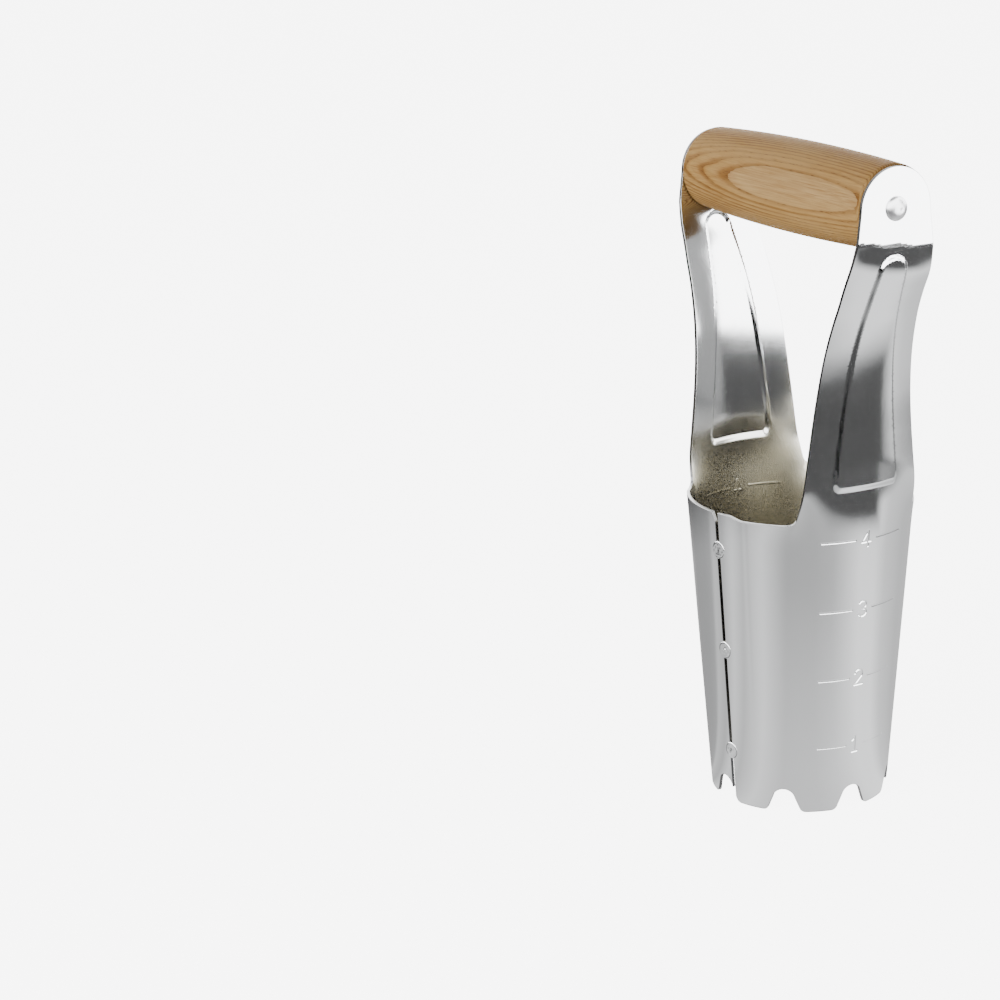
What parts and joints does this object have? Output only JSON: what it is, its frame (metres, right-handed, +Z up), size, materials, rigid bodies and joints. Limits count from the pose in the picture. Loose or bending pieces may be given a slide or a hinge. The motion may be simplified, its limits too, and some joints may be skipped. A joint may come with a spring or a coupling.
{
  "type": "bulb planter",
  "caption": "Hand bulb planter: tapered toothed steel tube with a pressed depth scale, flaring arms with raised panels, and a riveted barrel-shaped wooden grip.",
  "frame": {"origin": "centre of the tube at the plane of the tooth tips, where the tool stands upright", "axes": "+Z up along the tube axis to the grip, X along the grip from ear to ear, -Y towards the open butt seam of the tube"},
  "size_m": [0.1094, 0.0788, 0.2311],
  "materials": {
    "plated_steel": "bright plated sheet, soft satin reflections",
    "ash_wood": "turned and lightly oiled ash with a flame grain",
    "rivet_steel": "plain domed rivet head"
  },
  "bodies": {
    "root": {"planter_body": "plated_steel", "wooden_grip": "ash_wood", "through_rivet": "rivet_steel"}
  },
  "joints": []
}
